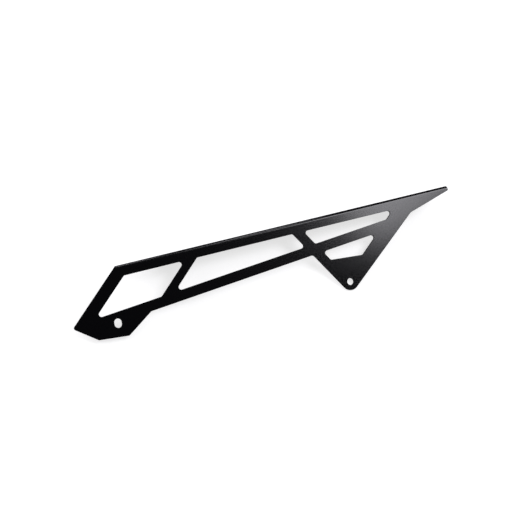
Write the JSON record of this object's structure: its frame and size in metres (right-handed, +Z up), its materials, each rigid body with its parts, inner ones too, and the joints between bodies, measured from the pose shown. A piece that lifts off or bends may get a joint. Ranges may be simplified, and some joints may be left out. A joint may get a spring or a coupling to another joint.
{
  "type": "motorcycle chain guard",
  "caption": "Motorcycle chain guard folded from sheet metal: pierced side plate with struts, flange along its top edge, round screw hole in the leg and a slot near the nose.",
  "frame": {"origin": "centre of the bounding box, on the surface that the guard lies on", "axes": "+X along the top edge toward the tail, +Y from the leg toward the flange, +Z up; the side plate faces up and toward -Y"},
  "size_m": [0.3846, 0.079, 0.0228],
  "materials": {
    "powder_coat": "satin black powder coat on aluminium sheet"
  },
  "bodies": {
    "root": {"chain_guard": "powder_coat"}
  },
  "joints": []
}
